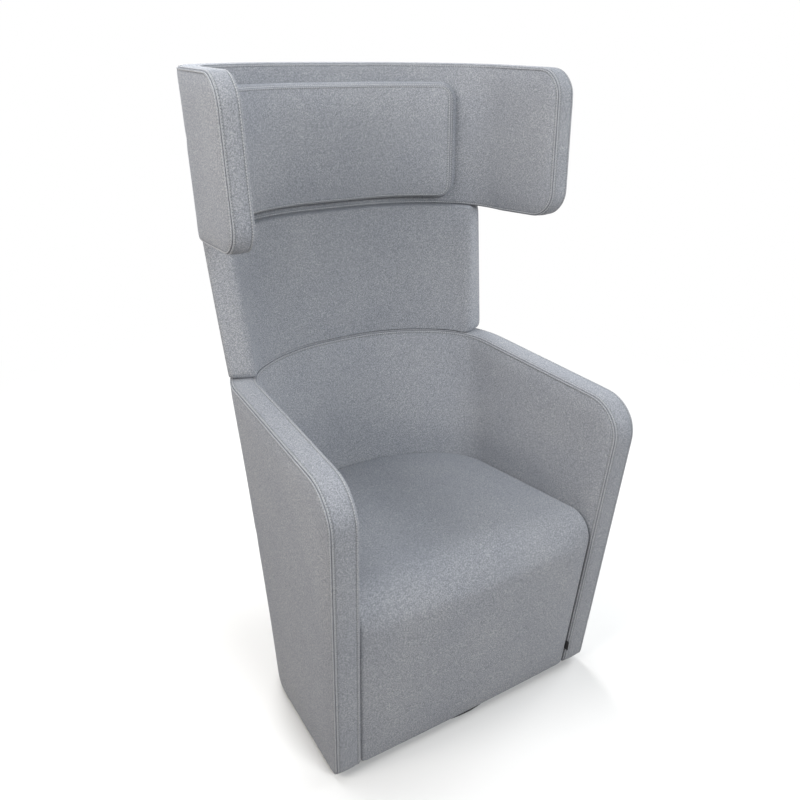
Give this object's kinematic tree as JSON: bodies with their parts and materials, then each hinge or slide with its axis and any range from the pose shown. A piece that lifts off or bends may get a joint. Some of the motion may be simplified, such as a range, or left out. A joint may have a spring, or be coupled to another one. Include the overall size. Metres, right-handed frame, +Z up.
{
  "type": "acoustic high back lounge chair",
  "caption": "High back wing lounge chair in felt: tapering tub, curved back panel, C-shaped head shroud with head pad, swivelling on a flat round base plate.",
  "frame": {"origin": "on the floor, on the swivel axis, at the centre of the base plate's floor pad", "axes": "+Z up along the swivel axis; the sitter faces -Y; +X is the side of the arm that is on the right seen from the front"},
  "size_m": [0.8196, 0.7305, 1.375],
  "materials": {
    "felt": "blue-grey heathered wool felt",
    "black_steel": "black powder coat",
    "zinc_steel": "bright zinc plate",
    "nylon": "natural nylon",
    "plywood": "raw moulded plywood",
    "beech": "raw beech",
    "black_cloth": "black woven cloth",
    "pad_rubber": "thin rubber sheet"
  },
  "bodies": {
    "base": {"floor_pad": "pad_rubber", "base_plate": "black_steel", "lower_race": "zinc_steel", "lower_race_screws": "zinc_steel", "centre_stud": "zinc_steel", "stud_washer": "zinc_steel", "stud_nut": "zinc_steel"},
    "ball_ring": {"ball_cage": "nylon", "bearing_balls": "zinc_steel"},
    "chair": {"upper_race": "zinc_steel", "upper_race_bolts": "zinc_steel", "centre_bush": "nylon", "bottom_board": "plywood", "dust_cover": "black_cloth", "side_rail_left": "beech", "side_rail_right": "beech", "rear_rail": "beech", "front_rail": "beech", "front_board": "plywood", "frame_posts": "beech", "webbing_crosswise": "black_cloth", "webbing_lengthwise": "black_cloth", "seat_upholstery": "felt", "tub_core": "plywood", "midback_core": "plywood", "shroud_core": "plywood", "spine_straps": "zinc_steel", "spine_screws": "zinc_steel", "tub_upholstery": "felt", "midback_upholstery": "felt", "shroud_upholstery": "felt", "head_pad": "felt", "head_pad_board": "plywood", "seam_tab": "black_cloth"}
  },
  "joints": [
    {"name": "swivel", "type": "hinge", "parent": "base", "child": "chair", "pos_m": [0, 0, 0], "axis": [0, 0, 1], "continuous": true},
    {"name": "cage_roll", "type": "hinge", "parent": "base", "child": "ball_ring", "pos_m": [0, 0, 0], "axis": [0, 0, 1], "continuous": true}
  ],
  "couplings": [
    {"joint": "cage_roll", "follows": "swivel", "ratio": 0.5}
  ]
}
